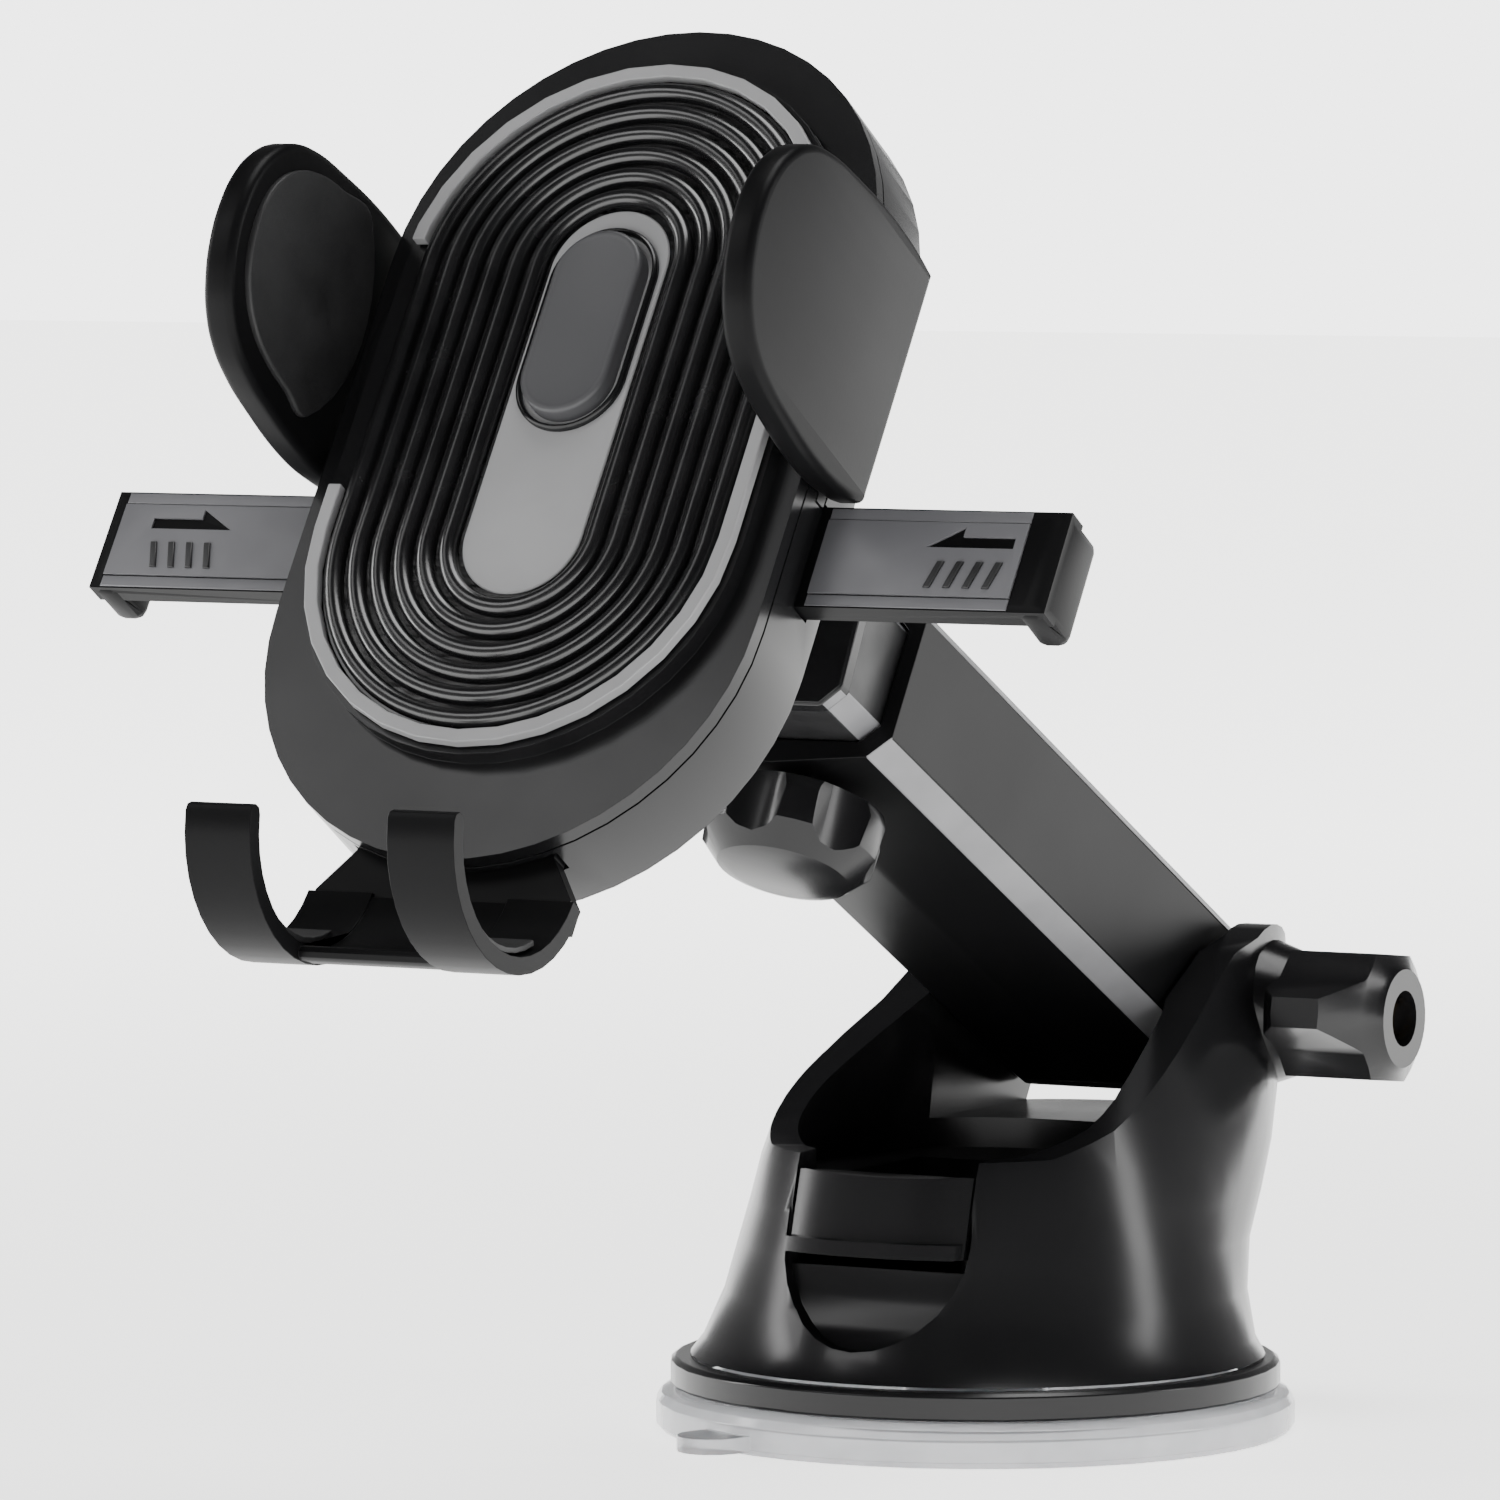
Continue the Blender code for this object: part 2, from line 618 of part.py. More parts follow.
def lock_knob():
    floor = -(TUBE_HALF_Y + TUBE_KEEL)
    profile = [
        (0, 0), (8 * MM, 0), (11.4 * MM, 1.2 * MM), (12 * MM, 3 * MM), (11.6 * MM, 7.2 * MM),
        (8.6 * MM, 10.4 * MM), (6.6 * MM, 11 * MM), (0, 11 * MM),
    ]
    knob = turned("lock_knob", profile, "gloss_black", armFrame, steps=36)
    for i in range(6):
        angle = tau * (i + 0.5) / 6
        away = Vector((cos(angle), sin(angle), 0)) * 17.6 * MM
        low, high = away - Vector((0, 0, 2 * MM)), away + Vector((0, 0, 15 * MM))
        cut(knob, rod("knob_scoop", low, high, 7.6 * MM, None, armFrame, 20))
    cut(knob, rod("knob_socket", (0, 0, -MM), (0, 0, 8 * MM), 2.9 * MM, None, armFrame, 16))
    shift(knob, Matrix.Translation((0, floor - 0.5 * MM, LOCK_AT)) @ Matrix.Rotation(pi / 2, 4, "X"))
    rod(
        "lock_screw",
        (0, floor - 8 * MM, LOCK_AT),
        (0, -10.4 * MM, LOCK_AT),
        2.5 * MM,
        "steel",
        armFrame,
        16,
    )


def inner_tube():
    outline = arm_outline(CHANNEL_HALF_X - GAP, CHANNEL_HALF_Y - GAP, 2.4 * MM)
    tube = plate("inner_tube", outline, 22 * MM, INNER_END - 2.9 * MM, "satin_black", armFrame, "Z")
    hollow = arm_outline(CHANNEL_HALF_X - 2.3 * MM, CHANNEL_HALF_Y - 2.3 * MM, 1.6 * MM)
    return cut(tube, plate("inner_hollow", hollow, 20 * MM, 112 * MM, None, armFrame, "Z"))


def arm_end_cap():
    outline = arm_outline(14.7 * MM, 9.8 * MM, 2.6 * MM)
    cap = plate("arm_end_cap", outline, INNER_END - 2.6 * MM, INNER_END, "gloss_black", armFrame, "Z")
    return rounded(cap, 0.4 * MM, 1)


def ball_stud():
    profile = arc(0, 0, BALL_R, 65, -65, 9)
    profile = [(x, BALL_AT + z) for x, z in profile]
    root = BALL_AT - sqrt(BALL_R**2 - (4 * MM) ** 2)
    profile = [(0, profile[0][1])] + profile
    profile += [(4 * MM, root - 0.2 * MM), (4 * MM, 129 * MM), (8 * MM, 121 * MM)]
    profile += [(8 * MM, INNER_END + GAP), (0, INNER_END + GAP)]
    return turned("ball_stud", profile, "satin_black", armFrame, steps=24)


# ---------------------------------------------------------------- head joint

arm_matrix = Matrix.Translation((0, PIVOT_Y, PIVOT_Z)) @ Matrix.Rotation(ARM_TILT, 4, "X")
head_matrix = Matrix.Translation((0, HEAD_Y, HEAD_Z)) @ Matrix.Rotation(HEAD_TILT, 4, "X")
BALL_IN_HEAD = head_matrix.inverted() @ arm_matrix @ Vector((0, 0, BALL_AT))


def sphere_side(radius, low, high, steps):
    """Points up the side of a sphere between two heights."""
    heights = [low + (high - low) * i / steps for i in range(steps + 1)]
    return [(sqrt(radius**2 - h**2), h) for h in heights]


def ball_liners():
    for name, radius, low, high in (
        ("ball_liner", 9.8, -8.0, 4.6),
        ("socket_cup", 10.8, -9.0, 3.5),
    ):
        inner = sphere_side(radius * MM, low * MM, high * MM, 4)
        outer = sphere_side((radius + 0.7) * MM, low * MM, high * MM, 4)[::-1]
        turned(name, outer + inner, "white_pom", headFrame, BALL_IN_HEAD, "Y", 24)


def ball_socket():
    seat = BALL_IN_HEAD.y - SHELL_BACK - GAP
    inner = sphere_side(11.8 * MM, -9.9 * MM, 3.8 * MM, 5)
    profile = [(0, -9.9 * MM)] + inner
    profile += [(14.3 * MM, 3.8 * MM), (14.3 * MM, -7.2 * MM), (16 * MM, -7.2 * MM), (16 * MM, -seat)]
    profile += [(7 * MM, -seat), (7 * MM, -seat - 2.6 * MM), (0, -seat - 2.6 * MM)]
    return turned("ball_socket", profile, "satin_black", headFrame, BALL_IN_HEAD, "Y", 28)


def lock_nut():
    profile = [
        (8.49, 8.2), (13, 8.2), (17.6, 5.6), (18.5, 4), (18.5, -6), (17.8, -6.8), (14.7, -6.8),
        (14.7, 4.1), (11.06, 4.1), (10.44, 5.5), (9.5, 7.0),
    ]
    profile = [(r * MM, h * MM) for r, h in profile]
    return turned("lock_nut", profile, "gloss_black", headFrame, BALL_IN_HEAD, "Y", 32)


# ---------------------------------------------------------------- head


def shell_outline(inset=0.0):
    return capsule(PLATE_HALF - inset, PLATE_STRAIGHT, PLATE_MID, 24)


def head_screw_places():
    return [(x, z) for x, z in ((-15, 38), (15, 38), (-19, -44), (19, -44))]


def back_shell():
    shell = plate("back_shell", shell_outline(), -MM, SHELL_BACK, "gloss_black", headFrame)
    rounded(shell, 5 * MM, 3)
    wide = 40 * MM
    hole = [(0, y * MM, BALL_IN_HEAD.z) for y in (15, 25)]
    cut(
        shell,
        block("shell_front", (-wide, -5 * MM, -80 * MM), (wide, 6.3 * MM, 80 * MM), None, headFrame),
        plate("shell_hollow", shell_outline(2.1 * MM), -2 * MM, SHELL_BACK - 2.2 * MM, None, headFrame),
        block(
            "wing_slot",
            (-wide, WING_Y[0] - GAP, WING_Z[0] - GAP),
            (wide, WING_Y[1] + GAP, WING_Z[1] + GAP),
            None,
            headFrame,
        ),
        block("left_slot", (-wide, 8.6 * MM, 10.9 * MM), (-28 * MM, 11 * MM, 16.8 * MM), None, headFrame),
        block("right_slot", (28 * MM, 8.6 * MM, -8.85 * MM), (wide, 11 * MM, 8.3 * MM), None, headFrame),
        block("foot_slot", (-14 * MM, 7.1 * MM, -80 * MM), (14 * MM, 10.7 * MM, -30 * MM), None, headFrame),
        rod("socket_hole", hole[0], hole[1], 7.3 * MM, None, headFrame, 28),
    )
    for x, z in head_screw_places():
        x, z = x * MM, z * MM
        cut(shell, rod("shell_hole", (x, 15 * MM, z), (x, 25 * MM, z), 1.5 * MM, None, headFrame, 12))
        cut(shell, rod("shell_sink", (x, 16.5 * MM, z), (x, 25 * MM, z), 2.8 * MM, None, headFrame, 16))
    return shell


def front_plate():
    front = plate("front_plate", shell_outline(), 4 * MM, 6 * MM, "gloss_black", headFrame)
    plateau = capsule(PLATEAU_HALF, PAD_STRAIGHT, 0, 20)
    join(front, plate("plateau", plateau, 1.7 * MM, 4.6 * MM, None, headFrame))
    for x, z in head_screw_places():
        x, z = x * MM, z * MM
        join(front, rod("front_boss", (x, 5 * MM, z), (x, 15 * MM, z), 2.6 * MM, None, headFrame, 14))
        cut(front, rod("boss_bore", (x, 9 * MM, z), (x, 18 * MM, z), 1.4 * MM, None, headFrame, 12))
    opening = capsule(BUTTON_HALF + 0.5 * MM, BUTTON_STRAIGHT, BUTTON_MID, 14)
    return cut(front, plate("button_way", opening, -5 * MM, 9 * MM, None, headFrame))


def head_screws():
    for i, (x, z) in enumerate(head_screw_places()):
        screw(
            f"head_screw_{i + 1}",
            (x * MM, 17.5 * MM, z * MM),
            (0, -1, 0),
            2.4 * MM,
            0.9 * MM,
            1.1 * MM,
            7 * MM,
            headFrame,
        )


def band(name, outer, inner, low, high, finish, steps=16):
    """A long round-ended ring."""
    ring = plate(name, capsule(outer, PAD_STRAIGHT, 0, steps), low, high, finish, headFrame)
    hole = plate(name + "_hole", capsule(inner, PAD_STRAIGHT, 0, steps), low - MM, high + MM, None, headFrame)
    return cut(ring, hole)


def pad_and_trim():
    band("ribbed_pad", 26.9 * MM, RECESS_HALF + GAP, 0, 1.4 * MM, "soft_black")
    wide = 40 * MM
    for name, left, right in (
        ("accent_ring_top", (-80 * MM, 22.4 * MM), (-80 * MM, 20 * MM)),
        ("accent_ring_bottom", (-12.8 * MM, 80 * MM), (MM, 80 * MM)),
    ):
        arcs = band(name, RING_OUT, RING_IN, -0.1 * MM, 1.4 * MM, "grey_trim")
        for side, (low, high) in ((-1, left), (1, right)):
            inner, outer = sorted((0, side * wide))
            cut(arcs, block(name + "_end", (inner, -2 * MM, low), (outer, 3 * MM, high), None, headFrame))
    panel = plate(
        "recess_panel",
        capsule(RECESS_HALF, PAD_STRAIGHT, 0, 14),
        0.7 * MM,
        1.4 * MM,
        "grey_trim",
        headFrame,
    )
    collar = capsule(BUTTON_HALF + 1.1 * MM, BUTTON_STRAIGHT, BUTTON_MID, 14)
    join(panel, plate("button_collar", collar, -0.2 * MM, 1.2 * MM, None, headFrame))
    opening = capsule(BUTTON_HALF + 0.4 * MM, BUTTON_STRAIGHT, BUTTON_MID, 14)
    cut(panel, plate("collar_way", opening, -3 * MM, 5 * MM, None, headFrame))


def trigger_button():
    face = capsule(BUTTON_HALF, BUTTON_STRAIGHT, BUTTON_MID, 14)
    button = plate("trigger_button", face, -1.8 * MM, 6.7 * MM, "dark_grey", headFrame)
    flange = capsule(BUTTON_HALF + 1.4 * MM, BUTTON_STRAIGHT, BUTTON_MID, 14)
    join(button, plate("button_flange", flange, 6.4 * MM, 7.0 * MM, None, headFrame))
    coil(
        "button_spring",
        "Y",
        (0, 7.7 * MM, 20 * MM),
        (0, 14.9 * MM, 20 * MM),
        2.1 * MM,
        0.3 * MM,
        4,
        "steel",
        headFrame,
    )


# ---------------------------------------------------------------- clamp


def gear_outline(teeth, pitch_r):
    """A gear's outline with straight-sided teeth, the first one pointing to +X."""
    points = []
    for i in range(teeth):
        middle = tau * i / teeth
        for radius, width in ((-1.25, -0.95), (0.8, -0.32), (0.8, 0.32), (-1.25, 0.95)):
            r = pitch_r + radius * MM
            a = middle + width * MM / r
            points.append((r * cos(a), PINION_Z + r * sin(a)))
    return points


def pinion():
    outline = gear_outline(PINION_TEETH, PINION_R)
    gear = plate("pinion", outline, RACK_Y[0], RACK_Y[1], "white_pom", headFrame)
    hole = [(0, y * MM, PINION_Z) for y in (8, 12)]
    cut(gear, rod("pinion_hole", hole[0], hole[1], 1.8 * MM, None, headFrame, 16))
    rod("pinion_pin", (0, 8.9 * MM, PINION_Z), (0, 14.9 * MM, PINION_Z), 1.5 * MM, "steel", headFrame, 16)


def rack_outline(side):
    """A toothed bar. The left rack runs above the pinion and the right one, turned half round, below it."""
    pitch = tau * PINION_R / PINION_TEETH
    points = []
    for i in range(-2, 7):
        middle = (i + 0.5) * pitch
        for across, height in ((-0.95, 1.25), (-0.32, -0.8), (0.32, -0.8), (0.95, 1.25)):
            points.append((middle + across * MM, PINION_R + height * MM))
    low = PINION_R + 1.25 * MM
    high = 12.5 * MM
    points = [(-33.3 * MM, low)] + points + [(27 * MM, low), (27 * MM, high), (-33.3 * MM, high)]
    return [(-side * x, PINION_Z - side * z) for x, z in points]


def racks():
    for name, side in (("rack_left", -1), ("rack_right", 1)):
        bar = plate(name, rack_outline(side), RACK_Y[0], RACK_Y[1], "satin_black", headFrame)
        if side == 1:
            foot = ((24 * MM, RACK_Y[0], -8.5 * MM), (33.3 * MM, RACK_Y[1], 8 * MM))
            join(bar, block("rack_foot", foot[0], foot[1], None, headFrame))


def release_wings():
    for name, side, top in (("release_wing_left", -1, -2.9), ("release_wing_right", 1, 17)):
        blade = [(WING_INNER, WING_Z[0]), (WING_REACH, WING_Z[0]), (WING_REACH, WING_Z[1])]
        blade += [(27 * MM, WING_Z[1]), (27 * MM, top * MM), (WING_INNER, top * MM)]
        outline = [(side * x, z) for x, z in blade]
        wing = plate(name, outline, WING_Y[0], WING_Y[1], "gloss_black", headFrame)
        inner, outer = sorted((side * 62.4 * MM, side * (WING_REACH + 0.05 * MM)))
        grip = block(
            "wing_grip",
            (inner, WING_Y[0] - 0.1 * MM, WING_Z[0] - 0.2 * MM),
            (outer, 19.4 * MM, WING_Z[1] + 0.2 * MM),
            None,
            headFrame,
        )
        join(wing, rounded(grip, 1.4 * MM, 3))


def jaw_outline():
    points = [
        (13, 25.6), (2, 26.3), (-10, 25.4), (-17.3, 24.2), (-21.9, 22.2), (-25.5, 18.7), (-27.6, 14.4),
        (-28.3, 9.6), (-27.8, 4.8), (-26.1, 0.2), (-23.5, -3.5), (-20, -6.1), (-15.5, -7.7), (-10, -8.6),
        (1, -9.2), (7, -8.3), (13, -6.4),
    ]
    return [(y * MM, z * MM) for y, z in points]


def jaw_pad_outline(grow=0.0):
    points = [
        (-3, 22.9), (-11, 22.6), (-17, 21.1), (-21, 18.8), (-23.8, 15.6), (-25.2, 11.9),
        (-25.4, 8), (-24.5, 3.9), (-22.4, 0.4), (-19.2, -2.3), (-15, -4), (-9, -4.9), (-3, -5.2),
    ]
    middle = (-13, 9)
    scale = 1 + grow
    return [
        ((middle[0] + (y - middle[0]) * scale) * MM, (middle[1] + (z - middle[1]) * scale) * MM)
        for y, z in points
    ]


def jaws():
    for name, side in (("left", -1), ("right", 1)):
        low, high = sorted((side * JAW_X[0], side * JAW_X[1]))
        jaw = plate(f"jaw_{name}", jaw_outline(), low, high, "gloss_black", headFrame, "X")
        rounded(jaw, 0.8 * MM, 2, 50)
        low, high = sorted((side * 30 * MM, side * 34.9 * MM))
        cut(jaw, plate(f"jaw_recess_{name}", jaw_pad_outline(0.03), low, high, None, headFrame, "X"))
        low, high = sorted((side * 32.8 * MM, side * 34.6 * MM))
        plate(f"jaw_pad_{name}", jaw_pad_outline(), low, high, "soft_black", headFrame, "X")
    coil(
        "jaw_spring",
        "X",
        (-18.6 * MM, 12.7 * MM, -16 * MM),
        (18.6 * MM, 12.7 * MM, -16 * MM),
        1.6 * MM,
        0.3 * MM,
        8,
        "steel",
        headFrame,
    )


# ---------------------------------------------------------------- foot

HOOK_MIDDLE = (-6.9 * MM, -63.9 * MM)


def hook_band(inner, outer, start, end, steps):
    """A curved strip in the side view, between two radii, with a round tip at its start."""
    points = arc(*HOOK_MIDDLE, outer, start, end, steps)
    points += arc(*HOOK_MIDDLE, inner, end, start, steps)
    tip = arc(*HOOK_MIDDLE, (outer + inner) / 2, start, start, 1)[0]
    return points + arc(*tip, (outer - inner) / 2, start + 180, start + 360, 4)[1:-1]


def foot_slider():
    tongue = [(-13.6, -34), (13.6, -34), (13.6, -59), (17.6, -64.5), (17.6, -68), (-17.6, -68)]
    tongue += [(-17.6, -64.5), (-13.6, -59)]
    tongue = [(x * MM, z * MM) for x, z in tongue]
    foot = plate("foot_slider", tongue, 7.5 * MM, 10.3 * MM, "gloss_black", headFrame)
    hook = hook_band(14.1 * MM, 16.3 * MM, 203, 356, 16)
    for low in (-18.3 * MM, 9.3 * MM):
        join(foot, plate("foot_hook", hook, low, low + 9 * MM, None, headFrame, "X"))
    web = hook_band(14.3 * MM, 16.1 * MM, 285, 354, 8)
    join(foot, plate("foot_web", web, -10 * MM, 10 * MM, None, headFrame, "X"))
    for name, low in (("hook_pad_left", -17.2 * MM), ("hook_pad_right", 10.4 * MM)):
        strip = hook_band(13 * MM, 13.8 * MM, 208, 320, 12)
        plate(name, strip, low, low + 6.8 * MM, "soft_black", headFrame, "X")


suction_pad()
skirt_ring()
base_housing()
base_plate()
for number, (screw_x, screw_y) in enumerate(base_screw_places()):
    top = (screw_x, screw_y, 8.6 * MM)
    screw(f"base_screw_{number + 1}", top, (0, 0, 1), 2.8 * MM, 1.3 * MM, 1.4 * MM, 13 * MM)
suction_lever()
lever_pin()
pull_rod()
pivot_bolt()
pivot_washers()
pivot_knob()
outer_tube()
brake_shoe()
lock_knob()
inner_tube()
arm_end_cap()
ball_stud()
ball_liners()
ball_socket()
lock_nut()
back_shell()
front_plate()
head_screws()
pad_and_trim()
trigger_button()
pinion()
racks()
release_wings()
jaws()
foot_slider()
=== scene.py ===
import json
from math import cos, pi, radians, sin

import bmesh
import bpy
from mathutils import Matrix, Vector


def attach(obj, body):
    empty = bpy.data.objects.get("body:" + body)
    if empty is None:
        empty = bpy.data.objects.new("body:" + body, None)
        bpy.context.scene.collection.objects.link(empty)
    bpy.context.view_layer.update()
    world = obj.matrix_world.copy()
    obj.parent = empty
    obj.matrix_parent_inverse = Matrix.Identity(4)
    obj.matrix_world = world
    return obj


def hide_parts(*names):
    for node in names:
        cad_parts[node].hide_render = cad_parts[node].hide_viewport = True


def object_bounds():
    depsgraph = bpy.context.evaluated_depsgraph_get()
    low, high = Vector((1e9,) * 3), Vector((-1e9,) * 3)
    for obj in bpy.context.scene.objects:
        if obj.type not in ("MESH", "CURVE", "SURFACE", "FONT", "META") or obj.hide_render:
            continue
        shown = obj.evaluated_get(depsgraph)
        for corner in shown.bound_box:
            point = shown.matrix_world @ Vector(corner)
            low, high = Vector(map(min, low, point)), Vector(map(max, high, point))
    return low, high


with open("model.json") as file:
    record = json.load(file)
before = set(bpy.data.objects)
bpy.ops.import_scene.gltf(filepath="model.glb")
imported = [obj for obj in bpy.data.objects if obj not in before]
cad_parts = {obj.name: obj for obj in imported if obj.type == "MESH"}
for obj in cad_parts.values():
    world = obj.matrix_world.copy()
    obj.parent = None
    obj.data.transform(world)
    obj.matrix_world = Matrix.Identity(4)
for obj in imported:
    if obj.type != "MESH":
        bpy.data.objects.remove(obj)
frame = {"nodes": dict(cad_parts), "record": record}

mm = 0.001
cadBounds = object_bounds()
behaviour = frame["record"]["behaviour"]
bodyOf = {node: body for body, members in behaviour["bodies"].items() for node in members}
joints = {row["name"]: row for row in behaviour["joints"]}

# the head's own directions: back into the shell and up along the plate
backward = Vector(joints["trigger_press"]["axis"])
upward = -Vector(joints["foot_slide"]["axis"])
pinionPlace = Vector(joints["pinion_turn"]["pos_m"])
headPlace = Matrix((Vector((1, 0, 0)), backward, upward)).transposed().to_4x4()
headPlace.translation = pinionPlace - backward * 9.8 * mm - upward * 4 * mm

# the arm's own directions: its upper face and along the tube
armTop = -Vector(joints["lock_knob_turn"]["axis"])
armAlong = Vector(joints["arm_extend"]["axis"])
armPlace = Matrix((Vector((1, 0, 0)), armTop, armAlong)).transposed().to_4x4()
armPlace.translation = Vector(joints["arm_hinge"]["pos_m"])

cameraLook = {
    "place": (0.5760, -1.1002, 0.1702),  # metres
    "turnedRight": 29.0,  # degrees round the object
    "tiltedDown": 3.74,
    "lens": 228,  # mm, on a sensor 36 mm wide
}
turn, tilt = radians(cameraLook["turnedRight"]), radians(cameraLook["tiltedDown"])
aim = Vector((-sin(turn) * cos(tilt), cos(turn) * cos(tilt), -sin(tilt)))
camera = bpy.data.objects.new("viewCamera", bpy.data.cameras.new("viewCamera"))
camera.data.lens = cameraLook["lens"]
camera.data.sensor_width = 36
camera.data.clip_start = 0.01
camera.location = cameraLook["place"]
camera.rotation_euler = aim.to_track_quat("-Z", "Y").to_euler()
bpy.context.scene.collection.objects.link(camera)
bpy.context.scene.camera = camera


def linear(hexCode):
    # sRGB hex to the linear colour that a shader takes
    parts = [int(hexCode[i:i + 2], 16) / 255 for i in (1, 3, 5)]
    return tuple(c / 12.92 if c <= 0.04045 else ((c + 0.055) / 1.055) ** 2.4 for c in parts) + (1.0,)


def addNode(tree, kind, settings=None, inputs=None):
    node = tree.nodes.new(kind)
    for name, value in (settings or {}).items():
        setattr(node, name, value)
    for name, value in (inputs or {}).items():
        if isinstance(value, bpy.types.NodeSocket):
            tree.links.new(value, node.inputs[name])
        else:
            node.inputs[name].default_value = value
    return node


studio = {
    "floor": "#f4f4f3",
    "floorHalf": 6,
    # height of the gaze and the tone there: bright at the horizon, then a dim room
    "surround": ((0.02, "#ffffff"), (0.07, "#646464"), (0.2, "#555555"), (0.6, "#161617")),
    "surroundStrength": 4.0,
    "farGlow": 3.75,  # the floor's own light, which sets in away from the object
    "nearGlow": 2.3,
    "glowFrom": 0.12,
    "glowTo": 1.1,
    "lampsAimAt": (0, -0.02, 0.09),
    # name, place, size, watts
    "lamps": (
        ("overheadLamp", (0.1, 0.15, 1.6), (1.0, 0.8), 16),
        ("frontLamp", (-0.62, -0.83, 1.0), (0.5, 0.4), 2.2),
        ("rightLamp", (1.3, 0.5, 0.5), (0.25, 0.9), 6),
        ("leftLamp", (-1.3, -0.35, 0.45), (0.2, 0.9), 6),
    ),
}


def setStudio(look):
    floorMesh = bpy.data.meshes.new("floor")
    bm = bmesh.new()
    bmesh.ops.create_grid(bm, x_segments=2, y_segments=2, size=look["floorHalf"])
    bm.to_mesh(floorMesh)
    bm.free()
    floor = bpy.data.objects.new("floor", floorMesh)
    floor.location = (0, 0, cadBounds[0].z)
    bpy.context.scene.collection.objects.link(floor)
    paint = bpy.data.materials.new("mattPaint")  # a seamless painted sweep
    paint.use_nodes = True
    tree = paint.node_tree
    shader = tree.nodes["Principled BSDF"]
    shader.inputs["Base Color"].default_value = linear(look["floor"])
    shader.inputs["Roughness"].default_value = 0.85
    shader.inputs["Specular IOR Level"].default_value = 0.1
    shader.inputs["Emission Color"].default_value = linear(look["floor"])
    where = addNode(tree, "ShaderNodeTexCoord").outputs["Object"]
    away = addNode(tree, "ShaderNodeVectorMath", {"operation": "LENGTH"}, {0: where})
    glow = addNode(
        tree,
        "ShaderNodeMapRange",
        {"interpolation_type": "SMOOTHSTEP"},
        {
            "Value": away.outputs["Value"],
            "From Min": look["glowFrom"],
            "From Max": look["glowTo"],
            "To Min": look["nearGlow"],
            "To Max": look["farGlow"],
        },
    )
    tree.links.new(glow.outputs["Result"], shader.inputs["Emission Strength"])
    floorMesh.materials.append(paint)
    for name, place, size, watts in look["lamps"]:
        lamp = bpy.data.lights.new(name, "AREA")
        lamp.shape = "RECTANGLE"
        lamp.size, lamp.size_y = size
        lamp.energy = watts
        holder = bpy.data.objects.new(name, lamp)
        holder.location = place
        gaze = Vector(look["lampsAimAt"]) - Vector(place)
        holder.rotation_euler = gaze.to_track_quat("-Z", "Y").to_euler()
        bpy.context.scene.collection.objects.link(holder)
    world = bpy.data.worlds.new("softRoom")
    bpy.context.scene.world = world
    world.use_nodes = True
    tree = world.node_tree
    # a bright band round the horizon that falls off to a dim ceiling, as in a tent of white cloth
    heading = addNode(tree, "ShaderNodeTexCoord").outputs["Generated"]
    height = addNode(tree, "ShaderNodeSeparateXYZ", inputs={"Vector": heading}).outputs["Z"]
    shade = addNode(tree, "ShaderNodeValToRGB", inputs={"Fac": height})
    stops = shade.color_ramp.elements
    while len(stops) < len(look["surround"]):
        stops.new(0.5)
    for stop, (place, tone) in zip(stops, look["surround"]):
        stop.position = place
        stop.color = linear(tone)
    backdrop = tree.nodes["Background"]
    tree.links.new(shade.outputs["Color"], backdrop.inputs["Color"])
    backdrop.inputs["Strength"].default_value = look["surroundStrength"]


setStudio(studio)
print("studio and camera set")


def moulded(name, look):
    # a moulded plastic or rubber: two close tones, a roughness that wanders and the mould's own grain
    material = bpy.data.materials.new(name)
    material.use_nodes = True
    tree = material.node_tree
    shader = tree.nodes["Principled BSDF"]
    shader.inputs["IOR"].default_value = look.get("ior", 1.5)
    shader.inputs["Metallic"].default_value = look.get("metallic", 0.0)
    shader.inputs["Specular IOR Level"].default_value = look.get("specular", 0.5)
    shader.inputs["Transmission Weight"].default_value = look.get("clear", 0.0)
    shader.inputs["Subsurface Weight"].default_value = look.get("milky", 0.0)
    shader.inputs["Subsurface Scale"].default_value = 4 * mm
    where = addNode(tree, "ShaderNodeTexCoord").outputs["Object"]
    cloud = addNode(
        tree,
        "ShaderNodeTexNoise",
        inputs={"Vector": where, "Scale": 1 / (look.get("cloudMm", 14) * mm), "Detail": 3.0},
    )
    toned = addNode(tree, "ShaderNodeValToRGB", inputs={"Fac": cloud.outputs["Fac"]})
    toned.color_ramp.elements[0].position = 0.36
    toned.color_ramp.elements[0].color = linear(look["tones"][0])
    toned.color_ramp.elements[1].position = 0.64
    toned.color_ramp.elements[1].color = linear(look["tones"][1])
    tree.links.new(toned.outputs["Color"], shader.inputs["Base Color"])
    smear = addNode(
        tree,
        "ShaderNodeTexNoise",
        inputs={"Vector": where, "Scale": 1 / (look.get("smearMm", 5) * mm), "Detail": 5.0},
    )
    rough = addNode(
        tree,
        "ShaderNodeMapRange",
        inputs={
            "Value": smear.outputs["Fac"],
            "From Min": 0.3,
            "From Max": 0.7,
            "To Min": look["roughness"][0],
            "To Max": look["roughness"][1],
        },
    )
    tree.links.new(rough.outputs["Result"], shader.inputs["Roughness"])
    grain = addNode(
        tree,
        "ShaderNodeTexNoise",
        inputs={"Vector": where, "Scale": 1 / (look["grainMm"] * mm), "Detail": 2.0, "Roughness": 0.6},
    )
    bump = addNode(
        tree,
        "ShaderNodeBump",
        inputs={
            "Height": grain.outputs["Fac"],
            "Strength": look.get("grainStrength", 0.15),
            "Distance": look.get("grainDeepMm", 0.02) * mm,
        },
    )
    tree.links.new(bump.outputs["Normal"], shader.inputs["Normal"])
    return material


